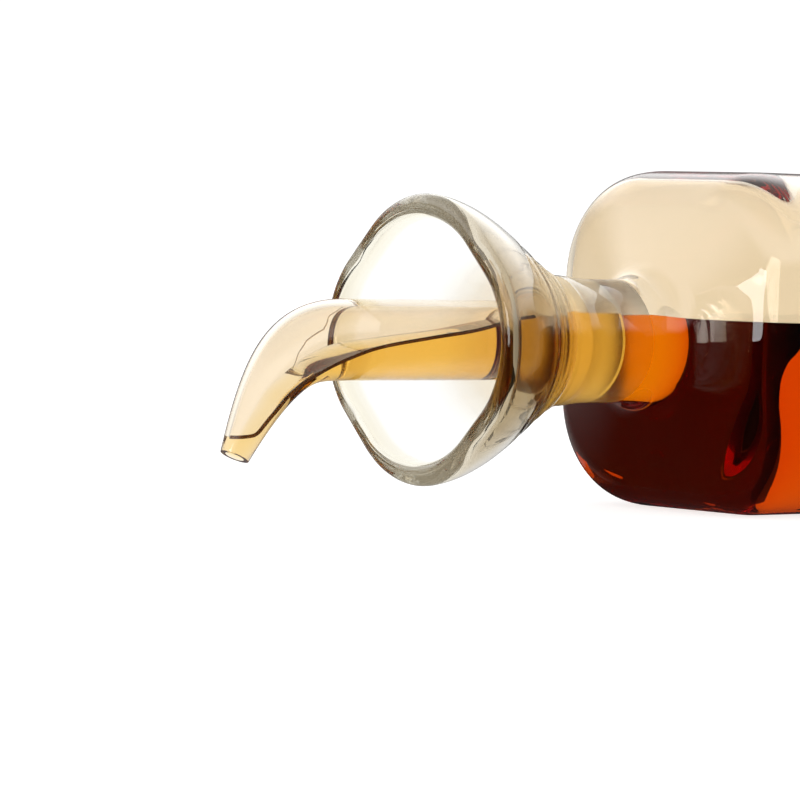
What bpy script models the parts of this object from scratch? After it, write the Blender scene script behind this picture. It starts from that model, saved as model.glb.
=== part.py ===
"""A glass soy sauce cruet, held level as it pours and resting on one flat side.

The bottle's axis runs along X at half the body's width above the ground. Its base is at +X and its
funnel mouth and spout are at -X. The spout bends down, towards -Z. Metres, +Z up. The origin is on the
flat underside, below the axis.

A profile is a list of (x, half width) pairs along the bottle's outer or inner surface. Heights of the
sauce are measured from the axis.
"""

import math

import bmesh
import bpy
from mathutils import Vector
from mathutils.geometry import interpolate_bezier

# The square body
BODY_WIDTH = 0.070
BODY_CORNER = 0.0215
WALL = 0.0025
BASE_X = 0.050
BASE_EDGE = 0.008
BASE_THICKNESS = 0.005
PUNT_DEPTH = 0.0015
PUNT_HALF = 0.022
PUNT_SHRINK = 0.5

# The domed shoulder, from where the sides end to its edge and to its fillet round the neck
SHOULDER_X = -0.0215
EDGE_X = -0.0358
EDGE_HALF = 0.0285
EDGE_LEAD = 0.0060
ROOT_X = -0.0405
ROOT_HALF = 0.0172
ROOT_LEAD = 0.0028

# The neck, with its ground bore
NECK_X = -0.0480
NECK_HALF = 0.0125
NECK_END_X = -0.0580
THROAT_X = -0.0670
THROAT_HALF = 0.0132
BORE_END_X = -0.0480
BORE_END_HALF = 0.0092
BORE_THROAT_X = -0.0715
BORE_THROAT_HALF = 0.0104

# The funnel mouth: a soft square that stands on its corner
MOUTH_X = -0.0994
MOUTH_HALF = 0.0267
MOUTH_ROUNDNESS = 0.83
MOUTH_TURN = math.radians(45)
FLARE_LEAD = (-0.0770, 0.0153)
MOUTH_LEAD = (-0.0870, 0.0254)
LIP_THICKNESS = 0.0044
INNER_MOUTH_LEAD = (-0.0870, 0.0222)
INNER_FLARE_LEAD = (-0.0775, 0.0118)

# The spout: a ground plug, a straight tube and a bent, tapered nozzle
JOINT_GAP = 0.0003
PLUG_END_X = -0.0560
PLUG_TOP_X = -0.0745
PLUG_ROUND = 0.0050
TUBE_HALF = 0.0079
TUBE_WALL = 0.0013
BEND_X = -0.1194
BEND_REACH = 0.0102
TIP_X = -0.1458
TIP_DROP = 0.0222
TIP_LEAD = 0.0225
TIP_ANGLE = math.radians(64.5)
TIP_HALF = 0.0029
TIP_WALL = 0.0010
TAPER_POWER = 2.1

# The sauce: its level in the bottle, and where its surface slopes down through the spout
LEVEL = 0.0049
SAUCE_GAP = 0.0003
SLOPE_START_X = -0.0740
SPOUT_SURFACE = [
    (-0.0806, 0.0041),
    (-0.0922, 0.0020),
    (-0.1032, 0.0007),
    (-0.1158, -0.0010),
    (-0.1225, -0.0028),
    (-0.1282, -0.0052),
    (-0.1355, -0.0095),
    (-0.1384, -0.0127),
    (-0.1409, -0.0154),
    (-0.1430, -0.0180),
]
AIR_END = (-0.1500, -0.0192)

# Mesh fineness
BOTTLE_SIDES = 64
SPOUT_SIDES = 32
SAUCE_SIDES = 48
ARC_STEPS = 6
CURVE_STEPS = 8
BEND_STEPS = 16

# Worked out from the sizes above
HALF = BODY_WIDTH / 2
AXIS_Z = HALF
FLAT = HALF - BODY_CORNER
ROUND_HALF = ROOT_HALF
ALMOST_ROUND = 0.98
CUTTER_MARGIN = 0.02
FORWARD = Vector((-1, 0, 0))


def clear_scene():
    """Remove what the scene holds at the start."""
    for old in list(bpy.data.objects):
        bpy.data.objects.remove(old, do_unlink=True)


def new_collection(name):
    """Add a collection to the scene."""
    collection = bpy.data.collections.new(name)
    bpy.context.scene.collection.children.link(collection)
    return collection


def material(name, colour, roughness, transmission):
    """Make a clear material from its colour, roughness and how much light passes through it."""
    made = bpy.data.materials.new(name)
    made.use_nodes = True
    shader = made.node_tree.nodes["Principled BSDF"]
    shader.inputs["Base Color"].default_value = (*colour, 1.0)
    shader.inputs["Roughness"].default_value = roughness
    shader.inputs["Metallic"].default_value = 0.0
    shader.inputs["Transmission Weight"].default_value = transmission
    made.diffuse_color = (*colour, 1.0)
    return made


def add_object(name, mesh, look, collection):
    """Put a finished mesh in the scene, shaded smooth between its edges."""
    mesh.shade_smooth()
    mesh.set_sharp_from_angle(angle=math.radians(35))
    mesh.materials.clear()
    mesh.materials.append(look)
    made = bpy.data.objects.new(name, mesh)
    collection.objects.link(made)
    return made


def add_cutter(name, mesh, look, collection):
    """Put a mesh in the scene that only shapes another one."""
    made = add_object(name, mesh, look, collection)
    made.hide_render = True
    made.display_type = "WIRE"
    return made


def boolean(target, other, operation):
    """Join a mesh to the target, or cut it from the target."""
    modifier = target.modifiers.new(other.name, "BOOLEAN")
    modifier.operation = operation
    modifier.solver = "EXACT"
    modifier.object = other


def smoothstep(t):
    """Ease from 0 to 1."""
    t = min(max(t, 0.0), 1.0)
    return t * t * (3 - 2 * t)


def bezier(start, lead_out, lead_in, end, steps=CURVE_STEPS):
    """Points of one cubic curve in a profile."""
    knots = [Vector((x, half, 0)) for x, half in (start, lead_out, lead_in, end)]
    return [(point.x, point.y) for point in interpolate_bezier(*knots, steps + 1)]


def arc(centre, radius, first, last, steps=ARC_STEPS):
    """Points of an arc in a profile, between two angles from +X."""
    turns = [first + (last - first) * i / steps for i in range(steps + 1)]
    return [(centre[0] + radius * math.cos(a), centre[1] + radius * math.sin(a)) for a in turns]


def square_radius(half, corner, angle):
    """Distance from the centre to a rounded square's outline, at an angle from one of its flats."""
    turned = abs((angle + math.pi / 4) % (math.pi / 2) - math.pi / 4)
    flat = half - corner
    if math.tan(turned) <= flat / half:
        return half / math.cos(turned)
    toward = flat * (math.cos(turned) + math.sin(turned))
    aside = flat * (math.cos(turned) - math.sin(turned))
    return toward + math.sqrt(max(corner * corner - aside * aside, 0.0))


def square_ring(x, half, flat, turn=0.0, sides=BOTTLE_SIDES):
    """A rounded square across the axis. flat is half the straight length of each of its sides."""
    corner = half - min(flat, half * ALMOST_ROUND)
    ring = []
    for i in range(sides):
        angle = 2 * math.pi * i / sides
        radius = square_radius(half, corner, angle - turn)
        ring.append(Vector((x, radius * math.sin(angle), AXIS_Z - radius * math.cos(angle))))
    return ring


def shoulder_flat(half, inset):
    """Half the straight length of a side where the section narrows from the body to the neck."""
    return FLAT * smoothstep((half + inset - ROUND_HALF) / (HALF - ROUND_HALF))


def mouth_ring(x, half):
    """A ring of the funnel, round at the throat and a soft square at the mouth."""
    opening = smoothstep((THROAT_X - x) / (THROAT_X - MOUTH_X))
    return square_ring(x, half, half * (1 - MOUTH_ROUNDNESS) * opening, MOUTH_TURN)


def loft(name, rings):
    """Skin rings of equally many points, and close both ends."""
    bm = bmesh.new()
    loops = [[bm.verts.new(point) for point in ring] for ring in rings]
    bm.faces.new(loops[0])
    bm.faces.new(loops[-1])
    for one, other in zip(loops, loops[1:]):
        for i in range(len(one)):
            j = (i + 1) % len(one)
            bm.faces.new((one[i], one[j], other[j], other[i]))
    bmesh.ops.recalc_face_normals(bm, faces=bm.faces)
    mesh = bpy.data.meshes.new(name)
    bm.to_mesh(mesh)
    bm.free()
    return mesh


def base_profile(inset):
    """Profile of the base's rounded edge, out to the flat sides."""
    back = BASE_X - (BASE_THICKNESS if inset else 0.0)
    edge = BASE_EDGE - inset
    return arc((back - edge, HALF - BASE_EDGE), edge, 0.0, math.pi / 2)


def shoulder_profile(inset):
    """Profile of the shoulder and of its fillet into the neck."""
    edge = (EDGE_X + inset, EDGE_HALF - inset / 2)
    root = (ROOT_X + inset, ROOT_HALF - inset / 2)
    if inset:
        neck = (BORE_END_X, BORE_END_HALF)
    else:
        neck = (NECK_X, NECK_HALF)
    slope = Vector((edge[0] - root[0], edge[1] - root[1])).normalized()
    over = bezier(
        (SHOULDER_X, HALF - inset),
        (SHOULDER_X - EDGE_LEAD - inset, HALF - inset),
        (edge[0] + slope.x * EDGE_LEAD, edge[1] + slope.y * EDGE_LEAD),
        edge,
    )
    fillet = bezier(
        root,
        (root[0] - slope.x * ROOT_LEAD, root[1] - slope.y * ROOT_LEAD),
        (neck[0] + 2 * ROOT_LEAD * smoothstep(1.0 - inset / HALF), neck[1]),
        neck,
    )
    return over + fillet


def funnel_profile():
    """Profile of the mouth: out along the funnel, over its round lip and in to the ground bore."""
    outer = bezier((THROAT_X, THROAT_HALF), FLARE_LEAD, MOUTH_LEAD, (MOUTH_X, MOUTH_HALF))
    along = Vector((MOUTH_X - MOUTH_LEAD[0], MOUTH_HALF - MOUTH_LEAD[1])).normalized()
    radius = LIP_THICKNESS / 2
    outward = Vector((along.y, -along.x))
    middle = Vector((MOUTH_X, MOUTH_HALF)) - outward * radius
    first = math.atan2(outward.y, outward.x)
    lip = arc(middle, radius, first, first + math.pi, ARC_STEPS + 2)
    throat = (BORE_THROAT_X, BORE_THROAT_HALF)
    inner = bezier(lip[-1], INNER_MOUTH_LEAD, INNER_FLARE_LEAD, throat)
    return outer + lip[1:] + inner[1:]


def hollow_rings(inset, gap, sides):
    """Rings of the body and shoulder, inset from the outer surface and then by a further gap."""
    base_end = BASE_X - BASE_THICKNESS - gap if inset else BASE_X
    rings = []
    for x, half in base_profile(inset):
        rings.append(square_ring(min(x, base_end), half - gap, FLAT, 0.0, sides))
    for x, half in shoulder_profile(inset):
        flat = shoulder_flat(half, inset)
        rings.append(square_ring(x + gap, half - gap, flat, 0.0, sides))
    return rings


def bottle_rings():
    """All rings of the bottle, from the middle of its base, over its lip, to the inside of its base."""
    hollow = BASE_X - PUNT_DEPTH
    rings = [square_ring(hollow, PUNT_HALF * PUNT_SHRINK, 0.0), square_ring(BASE_X, PUNT_HALF, 0.0)]
    rings += hollow_rings(0.0, 0.0, BOTTLE_SIDES)
    rings.append(square_ring(NECK_END_X, NECK_HALF, 0.0))
    rings += [mouth_ring(x, half) for x, half in funnel_profile()]
    rings += hollow_rings(WALL, 0.0, BOTTLE_SIDES)[::-1]
    return rings


def bore_half(x):
    """Half the ground bore's width, which tapers towards the body."""
    t = (x - BORE_THROAT_X) / (BORE_END_X - BORE_THROAT_X)
    return BORE_THROAT_HALF + (BORE_END_HALF - BORE_THROAT_HALF) * t


def spout_line():
    """Stations down the spout, each with its centre, its outer and its inner radius."""
    plug_top = bore_half(BORE_THROAT_X) - JOINT_GAP
    straight = [
        (PLUG_END_X, bore_half(PLUG_END_X) - JOINT_GAP),
        (BORE_THROAT_X, plug_top),
        (PLUG_TOP_X, plug_top),
    ]
    for i in range(1, ARC_STEPS):
        t = i / ARC_STEPS
        straight.append((PLUG_TOP_X - PLUG_ROUND * t, plug_top + (TUBE_HALF - plug_top) * smoothstep(t)))
    straight.append((PLUG_TOP_X - PLUG_ROUND, TUBE_HALF))
    stations = [(Vector((x, 0, AXIS_Z)), outer, outer - TUBE_WALL) for x, outer in straight]
    tip = Vector((TIP_X, 0, AXIS_Z - TIP_DROP))
    aim = Vector((-math.cos(TIP_ANGLE), 0, -math.sin(TIP_ANGLE)))
    start = Vector((BEND_X, 0, AXIS_Z))
    centres = interpolate_bezier(start, start + FORWARD * BEND_REACH, tip - aim * TIP_LEAD, tip, BEND_STEPS + 1)
    for i, centre in enumerate(centres):
        taper = (i / BEND_STEPS) ** TAPER_POWER
        outer = TUBE_HALF + (TIP_HALF - TUBE_HALF) * taper
        wall = TUBE_WALL + (TIP_WALL - TUBE_WALL) * taper
        stations.append((centre, outer, outer - wall))
    return stations


def pipe(name, points, sides=SPOUT_SIDES):
    """Mesh of a closed round pipe through (centre, radius) points."""
    curve = bpy.data.curves.new(name, "CURVE")
    curve.dimensions = "3D"
    curve.bevel_depth = 1.0
    curve.bevel_resolution = (sides - 4) // 2
    curve.use_fill_caps = True
    spline = curve.splines.new("POLY")
    spline.points.add(len(points) - 1)
    for made, (centre, radius) in zip(spline.points, points):
        made.co = (*centre, 1.0)
        made.radius = radius
    guide = bpy.data.objects.new(name, curve)
    bpy.context.scene.collection.objects.link(guide)
    bpy.context.view_layer.update()
    mesh = bpy.data.meshes.new_from_object(guide.evaluated_get(bpy.context.evaluated_depsgraph_get()))
    bpy.data.objects.remove(guide, do_unlink=True)
    bm = bmesh.new()
    bm.from_mesh(mesh)
    bmesh.ops.remove_doubles(bm, verts=bm.verts, dist=1e-6)
    bmesh.ops.recalc_face_normals(bm, faces=bm.faces)
    bm.to_mesh(mesh)
    bm.free()
    return mesh


def beyond(points):
    """The same points with each end moved outwards, so that a cutter runs past both ends."""
    first = points[0][0] - FORWARD * CUTTER_MARGIN / 10
    aim = (points[-1][0] - points[-2][0]).normalized()
    last = points[-1][0] + aim * CUTTER_MARGIN / 10
    return [(first, points[0][1])] + points[1:-1] + [(last, points[-1][1])]


def air_mesh():
    """The air above the sauce: an outline along the bottle, swept across it."""
    far_x = TIP_X - CUTTER_MARGIN
    outline = [(BASE_X + CUTTER_MARGIN, LEVEL), (SLOPE_START_X, LEVEL)]
    outline += SPOUT_SURFACE
    outline += [AIR_END, (far_x, LEVEL)]
    outline += [(far_x, HALF + CUTTER_MARGIN), (BASE_X + CUTTER_MARGIN, HALF + CUTTER_MARGIN)]
    bm = bmesh.new()
    side = -HALF - CUTTER_MARGIN
    face = bm.faces.new([bm.verts.new((x, side, AXIS_Z + height)) for x, height in outline])
    swept = bmesh.ops.extrude_face_region(bm, geom=[face])
    moved = [part for part in swept["geom"] if isinstance(part, bmesh.types.BMVert)]
    bmesh.ops.translate(bm, verts=moved, vec=(0, -2 * side, 0))
    bmesh.ops.recalc_face_normals(bm, faces=bm.faces)
    mesh = bpy.data.meshes.new("air")
    bm.to_mesh(mesh)
    bm.free()
    return mesh


def make_bottle(parts):
    """The bottle: body, neck and funnel mouth in one piece of glass."""
    look = material("bottle_glass", (0.93, 0.89, 0.80), 0.02, 1.0)
    add_object("glass_bottle", loft("glass_bottle", bottle_rings()), look, parts)


def make_spout(parts, cutters):
    """The spout, hollow from the plug to the tip."""
    look = material("spout_glass", (0.94, 0.90, 0.82), 0.02, 1.0)
    line = spout_line()
    outside = pipe("glass_spout", [(centre, outer) for centre, outer, _ in line])
    bore = pipe("spout_bore", beyond([(centre, inner) for centre, _, inner in line]))
    spout = add_object("glass_spout", outside, look, parts)
    boolean(spout, add_cutter("spout_bore", bore, look, cutters), "DIFFERENCE")


def make_sauce(parts, cutters):
    """The sauce in the bottle and the spout, up to its surface."""
    look = material("soy_sauce", (0.22, 0.05, 0.01), 0.05, 0.6)
    rings = hollow_rings(WALL, SAUCE_GAP, SAUCE_SIDES)
    end_x = PLUG_END_X + SAUCE_GAP
    rings.append(square_ring(end_x, BORE_END_HALF - SAUCE_GAP, 0.0, 0.0, SAUCE_SIDES))
    sauce = add_object("soy_sauce", loft("soy_sauce", rings), look, parts)
    core = [(centre, inner - SAUCE_GAP) for centre, _, inner in spout_line()]
    core[0] = (core[0][0] - FORWARD * BORE_END_HALF / 2, core[0][1])
    boolean(sauce, add_cutter("spout_core", pipe("spout_core", core), look, cutters), "UNION")
    boolean(sauce, add_cutter("air", air_mesh(), look, cutters), "DIFFERENCE")


def main():
    """Build the bottle, the spout and the sauce."""
    clear_scene()
    parts = new_collection("soy_sauce_cruet")
    cutters = new_collection("cutters")
    make_bottle(parts)
    make_spout(parts, cutters)
    make_sauce(parts, cutters)


main()
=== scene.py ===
"""Looks of the glass soy sauce cruet: its bottle, its spout, the sauce in them and a white studio.

Lengths are metres in the part's own frame. The bottle's axis runs along X at half the body's width above
the floor, with the base at +X. A profile is a list of (x, half width) pairs along a surface.
"""

import logging
import math
import random
from dataclasses import dataclass, replace
from enum import Enum
from itertools import pairwise

import bmesh
import bpy
from mathutils import Matrix, Vector
from mathutils.geometry import interpolate_bezier

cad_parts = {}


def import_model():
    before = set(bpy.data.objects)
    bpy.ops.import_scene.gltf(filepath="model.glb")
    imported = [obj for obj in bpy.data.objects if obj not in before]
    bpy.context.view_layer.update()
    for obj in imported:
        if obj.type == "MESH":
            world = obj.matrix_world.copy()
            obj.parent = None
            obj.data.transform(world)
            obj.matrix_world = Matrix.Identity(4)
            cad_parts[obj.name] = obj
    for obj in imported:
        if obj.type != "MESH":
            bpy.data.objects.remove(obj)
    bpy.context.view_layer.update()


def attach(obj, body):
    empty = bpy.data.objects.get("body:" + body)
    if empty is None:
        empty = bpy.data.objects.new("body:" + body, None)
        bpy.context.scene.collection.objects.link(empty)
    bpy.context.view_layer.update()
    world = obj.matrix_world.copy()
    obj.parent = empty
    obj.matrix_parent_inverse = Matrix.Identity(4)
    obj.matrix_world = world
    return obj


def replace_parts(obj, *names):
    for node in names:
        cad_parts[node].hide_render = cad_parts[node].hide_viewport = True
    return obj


LOG = logging.getLogger("cruet")
ROOT = "root"
SIDES = 160
TURNS = [2 * math.pi * i / SIDES for i in range(SIDES)]
SAUCE_IOR = 1.37
FREE = "free_surface"
WHITE = (1.0, 1.0, 1.0, 1.0)
SHARP_ANGLE = math.radians(50.0)
WELD = 1e-6
CUT_SLACK = 1e-7
BEAD_RESOLUTION = 4
FORWARD = Vector((-1.0, 0.0, 0.0))
ACROSS = Vector((0.0, 1.0, 0.0))
UP = Vector((0.0, 0.0, 1.0))

Profile = list[tuple[float, float]]
Ring = list[Vector]
Span = tuple[float, float]
Colour = tuple[float, float, float]
Socket = bpy.types.NodeSocket
Tree = bpy.types.NodeTree
Mesh = bpy.types.Mesh


class Slot(Enum):
    """The record's material slots."""

    BOTTLE = "bottle_glass"
    SPOUT = "spout_glass"
    SAUCE = "soy_sauce"


class Node(Enum):
    """The solids that the detailed pieces stand for."""

    BOTTLE = "glass_bottle"
    SPOUT = "glass_spout"
    SAUCE = "soy_sauce"


class Surface(Enum):
    """Which finish a stretch of glass has, as an index of its material slots."""

    POLISHED = 0
    GROUND = 1
    WETTED = 2


class Axis(Enum):
    """Which coordinate is the same all over a card."""

    X = 0
    Y = 1
    Z = 2


def smoothstep(t: float) -> float:
    """Ease from 0 to 1 over a share of the way."""
    t = min(max(t, 0.0), 1.0)
    return t * t * (3.0 - 2.0 * t)


def bezier(start: tuple, lead_out: tuple, lead_in: tuple, end: tuple, steps: int) -> Profile:
    """Read a cubic curve in a profile from its four control pairs, with both ends among its pairs."""
    knots = [Vector((x, half, 0.0)) for x, half in (start, lead_out, lead_in, end)]
    return [(point.x, point.y) for point in interpolate_bezier(*knots, steps + 1)]


def arc(centre: Vector, radius: float, first: float, last: float, steps: int) -> Profile:
    """Read an arc in a profile, from its first angle off +X to its last."""
    turns = [first + (last - first) * i / steps for i in range(steps + 1)]
    return [(centre[0] + radius * math.cos(a), centre[1] + radius * math.sin(a)) for a in turns]


def square_radius(half: float, corner: float, angle: float) -> float:
    """Distance from the centre to a rounded square's outline.

    Args:
        half: Half the square's width.
        corner: Radius of its corners.
        angle: Angle from one of its flats.

    Returns:
        The distance.
    """
    turned = abs((angle + math.pi / 4) % (math.pi / 2) - math.pi / 4)
    flat = half - corner
    if math.tan(turned) <= flat / half:
        return half / math.cos(turned)
    toward = flat * (math.cos(turned) + math.sin(turned))
    aside = flat * (math.cos(turned) - math.sin(turned))
    return toward + math.sqrt(max(corner * corner - aside * aside, 0.0))


class RingSweep:
    """A skin made by extruding one ring of points from section to section."""

    def __init__(self, first: Ring) -> None:
        """Start the skin.

        Args:
            first: The first section's points.
        """
        self.bm = bmesh.new()
        made = bmesh.ops.create_circle(self.bm, segments=len(first), radius=1.0)
        self.ring = list(made["verts"])
        self._place(first)
        self.start = list(self.ring)

    def _place(self, points: Ring) -> None:
        """Move the open ring's points to a section."""
        for vert, point in zip(self.ring, points):
            vert.co = point

    def _edges(self, ring: list) -> list:
        """The edges along a ring of points."""
        return [self.bm.edges.get(pair) for pair in zip(ring, ring[1:] + ring[:1])]

    def step(self, points: Ring, surface: Surface = Surface.POLISHED) -> None:
        """Extrude the open ring to the next section.

        Args:
            points: The section's points.
            surface: Finish of the stretch that this makes.
        """
        made = bmesh.ops.extrude_edge_only(self.bm, edges=self._edges(self.ring))
        fresh = {part for part in made["geom"] if isinstance(part, bmesh.types.BMVert)}
        for face in (part for part in made["geom"] if isinstance(part, bmesh.types.BMFace)):
            face.material_index = surface.value
        self.ring = [
            next(end for end in (edge.other_vert(vert) for edge in vert.link_edges) if end in fresh)
            for vert in self.ring
        ]
        self._place(points)

    def steps(self, rings: list[Ring], surface: Surface = Surface.POLISHED) -> None:
        """Extrude the open ring through several sections."""
        for points in rings:
            self.step(points, surface)

    def cap_both(self) -> None:
        """Close both ends with flat faces."""
        for ring in (self.start, self.ring):
            bmesh.ops.contextual_create(self.bm, geom=self._edges(ring))

    def wet_cap(self) -> None:
        """Wet the last section's flat face."""
        for face in self.ring[0].link_faces:
            if len(face.verts) == len(self.ring):
                face.material_index = Surface.WETTED.value

    def join_ends(self, surface: Surface) -> None:
        """Bridge the last section to the first."""
        made = bmesh.ops.bridge_loops(self.bm, edges=self._edges(self.start) + self._edges(self.ring))
        for face in made["faces"]:
            face.material_index = surface.value

    def wet_between(self, low: float, high: float) -> list[bmesh.types.BMFace]:
        """The wetted faces along a stretch of the axis."""
        wet = (face for face in self.bm.faces if face.material_index == Surface.WETTED.value)
        return [face for face in wet if low < face.calc_center_median().x <= high]

    def dry_above(self, line: Profile, axis_z: float) -> None:
        """Split the wetted faces along a sauce line and dry those above it.

        Args:
            line: The line's (x, height over the axis) pairs, from the base to the tip.
            axis_z: Height of the axis.
        """
        for (x0, z0), (x1, z1) in pairwise(line):
            near = self.wet_between(x1, x0)
            around = {part for face in near for part in (*face.verts, *face.edges)}
            start = Vector((x0, 0.0, axis_z + z0))
            upward = Vector((z1 - z0, 0.0, x0 - x1)).normalized()
            if near:
                plane = {"plane_co": start, "plane_no": upward}
                bmesh.ops.bisect_plane(self.bm, geom=[*near, *around], dist=CUT_SLACK, **plane)
            for face in self.wet_between(x1, x0):
                if (face.calc_center_median() - start).dot(upward) > 0:
                    face.material_index = Surface.POLISHED.value

    def mesh(self, name: str) -> Mesh:
        """Turn the skin into a smooth mesh that faces outwards."""
        bmesh.ops.recalc_face_normals(self.bm, faces=self.bm.faces)
        return finished_mesh(name, self.bm)


def fill(bm: bmesh.types.BMesh, points: list) -> list[bmesh.types.BMFace]:
    """Fill the outline along points with one face."""
    verts = [bm.verts.new(point) for point in points]
    edges = [bm.edges.new(pair) for pair in zip(verts, verts[1:] + verts[:1])]
    return bmesh.ops.contextual_create(bm, geom=edges)["faces"]


def finished_mesh(name: str, bm: bmesh.types.BMesh) -> Mesh:
    """Store a bmesh as a smooth mesh and free it.

    Args:
        name: The mesh's name.
        bm: The shape.

    Returns:
        The mesh.
    """
    mesh = bpy.data.meshes.new(name)
    bm.to_mesh(mesh)
    bm.free()
    mesh.shade_smooth()
    mesh.set_sharp_from_angle(angle=SHARP_ANGLE)
    return mesh


def put(name: str, data: bpy.types.ID) -> bpy.types.Object:
    """Put a mesh, curve or camera in the scene as an object."""
    made = bpy.data.objects.new(name, data)
    bpy.context.scene.collection.objects.link(made)
    return made


def worked_out(source: bpy.types.Object) -> Mesh:
    """The mesh that an object's modifiers or curve come to."""
    bpy.context.view_layer.update()
    graph = bpy.context.evaluated_depsgraph_get()
    return bpy.data.meshes.new_from_object(source.evaluated_get(graph))


def add_piece(name: str, mesh: Mesh, looks: list) -> bpy.types.Object:
    """Put a finished piece of the cruet in the scene.

    Args:
        name: The piece's name.
        mesh: Its mesh, in place.
        looks: Its materials, in the order of its material indices.

    Returns:
        The piece.
    """
    for look in looks:
        mesh.materials.append(look)
    piece = put(name, mesh)
    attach(piece, ROOT)
    LOG.info("%s: %d faces", name, len(mesh.polygons))
    return piece


def pipe_mesh(name: str, points: Ring, radii: list[float]) -> Mesh:
    """Make a round bead along points, tapering as its radii say.

    Args:
        name: The mesh's name.
        points: Points that the bead follows.
        radii: Its radius at each point.

    Returns:
        The mesh, with its caps welded.
    """
    curve = bpy.data.curves.new(name, "CURVE")
    curve.dimensions = "3D"
    curve.bevel_depth = 1.0
    curve.bevel_resolution = BEAD_RESOLUTION
    curve.use_fill_caps = True
    spline = curve.splines.new("POLY")
    spline.points.add(len(points) - 1)
    for made, point, radius in zip(spline.points, points, radii):
        made.co = (*point, 1.0)
        made.radius = radius
    guide = put(name, curve)
    raw = worked_out(guide)
    bpy.data.objects.remove(guide, do_unlink=True)
    bm = bmesh.new()
    bm.from_mesh(raw)
    bpy.data.meshes.remove(raw)
    bmesh.ops.remove_doubles(bm, verts=bm.verts, dist=WELD)
    bmesh.ops.recalc_face_normals(bm, faces=bm.faces)
    return finished_mesh(name, bm)


def feed(tree: Tree, node: bpy.types.Node, inputs: dict) -> None:
    """Fill in a node's inputs.

    Args:
        tree: The node's tree.
        node: The node.
        inputs: A value, or the socket that feeds it, for each input's name or number.
    """
    for name, value in inputs.items():
        if isinstance(value, Socket):
            tree.links.new(value, node.inputs[name])
        else:
            node.inputs[name].default_value = value


def add_node(tree: Tree, kind: str, inputs: dict, **settings) -> bpy.types.Node:
    """Add a node.

    Args:
        tree: The tree that it goes into.
        kind: Its type, without the leading ShaderNode.
        inputs: What feeds its inputs.
        settings: Its other settings.

    Returns:
        The node.
    """
    node = tree.nodes.new(f"ShaderNode{kind}")
    for name, value in settings.items():
        setattr(node, name, value)
    feed(tree, node, inputs)
    return node


def new_look(name: str, inputs: dict) -> tuple[bpy.types.Material, Tree, bpy.types.Node]:
    """Start a material.

    Args:
        name: Its name.
        inputs: The values of its shader.

    Returns:
        The material, its nodes and its shader.
    """
    material = bpy.data.materials.new(name)
    material.use_nodes = True
    tree = material.node_tree
    shader = tree.nodes["Principled BSDF"]
    feed(tree, shader, inputs)
    return material, tree, shader


def matte_look(name: str, shade: float, glow: float) -> bpy.types.Material:
    """Make a matte grey that glows white."""
    grey = (shade, shade, shade, 1.0)
    dull = {"Base Color": grey, "Roughness": 1.0, "Specular IOR Level": 0.0}
    return new_look(name, {**dull, "Emission Color": WHITE, "Emission Strength": glow})[0]


@dataclass(frozen=True)
class Relief:
    """Bumps in a surface: how fine, how deep and how rough they are."""

    scale: float
    depth: float = 0.000015
    detail: float = 1.0


@dataclass(frozen=True)
class GlassFinish:
    """Clear glass, polished or ground, whose warm tone and painted shade can change along the axis.

    Each band is a place along X with the colour that the glass has there; at the bottle's lip that colour
    is painted shade. With more than one band, the glass also takes a painted reflection, a darker brown,
    where side_slope times X plus Y falls below side_ends, which is the funnel's near side.
    """

    name: str
    bands: tuple[tuple[float, Colour], ...]
    roughness: float = 0.0
    ior: float = 1.47
    # Painted reflection: a darker brown on the funnel's near side, standing for surroundings mirrored there.
    near_side_painted_reflection: Colour = (0.48, 0.39, 0.25)
    side_slope: float = 0.6
    side_ends: Span = (-0.074, -0.060)
    bumps: tuple[Relief, ...] = (Relief(60.0),)

    def tone_and_painted_shade(self, tree: Tree, place: Socket) -> tuple | Socket:
        """Work out the glass's colour, which on the bottle holds painted shade and a painted reflection.

        Args:
            tree: The material's nodes.
            place: The place on the piece.

        Returns:
            The only band's colour, or the socket that mixes the bands' and the near side's painted
            reflection.
        """
        (start, plain), (end, _) = self.bands[0], self.bands[-1]
        if len(self.bands) == 1:
            return (*plain, 1.0)
        x = add_node(tree, "SeparateXYZ", {"Vector": place}).outputs["X"]
        along = add_node(tree, "MapRange", {"Value": x, "From Min": start, "From Max": end})
        ramp = add_node(tree, "ValToRGB", {"Fac": along.outputs["Result"]})
        stops = ramp.color_ramp.elements
        while len(stops) < len(self.bands):
            stops.new(0.5)
        for stop, (x, tone_and_painted_shade) in zip(stops, self.bands):
            stop.position = (x - start) / (end - start)
            stop.color = (*tone_and_painted_shade, 1.0)
        # Painted reflection: mix the near side's darker brown into the bands' colour.
        slope = (self.side_slope, 1.0, 0.0)
        lean = add_node(tree, "VectorMath", {0: place, 1: slope}, operation="DOT_PRODUCT").outputs["Value"]
        low, high = self.side_ends
        share = add_node(tree, "MapRange", {"Value": lean, "From Min": low, "From Max": high})
        colours = {0: share.outputs["Result"], 6: (*self.near_side_painted_reflection, 1.0), 7: ramp.outputs["Color"]}
        return add_node(tree, "Mix", colours, data_type="RGBA").outputs[2]

    def looks(self, ground: "GlassFinish") -> list[bpy.types.Material]:
        """Make this glass, a ground one, and this one wetted by sauce, where it bends light far less."""
        wetted = replace(self, name=f"wetted_{self.name}", ior=self.ior / SAUCE_IOR)
        return [finish.build() for finish in (self, ground, wetted)]

    def build(self) -> bpy.types.Material:
        """Make the material: glass with its tone and painted shade, slow waves and, if ground, a fine grain.
        """
        values = {"Roughness": self.roughness, "IOR": self.ior, "Transmission Weight": 1.0}
        material, tree, shader = new_look(self.name, values)
        place = add_node(tree, "TexCoord", {}).outputs["Object"]
        normal = {}
        for bump in self.bumps:
            noise = {"Vector": place, "Scale": bump.scale, "Detail": bump.detail}
            height = add_node(tree, "TexNoise", noise).outputs["Fac"]
            made = add_node(tree, "Bump", {"Distance": bump.depth, "Height": height, **normal})
            normal = {"Normal": made.outputs["Normal"]}
        feed(tree, shader, {"Base Color": self.tone_and_painted_shade(tree, place), **normal})
        return material


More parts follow.
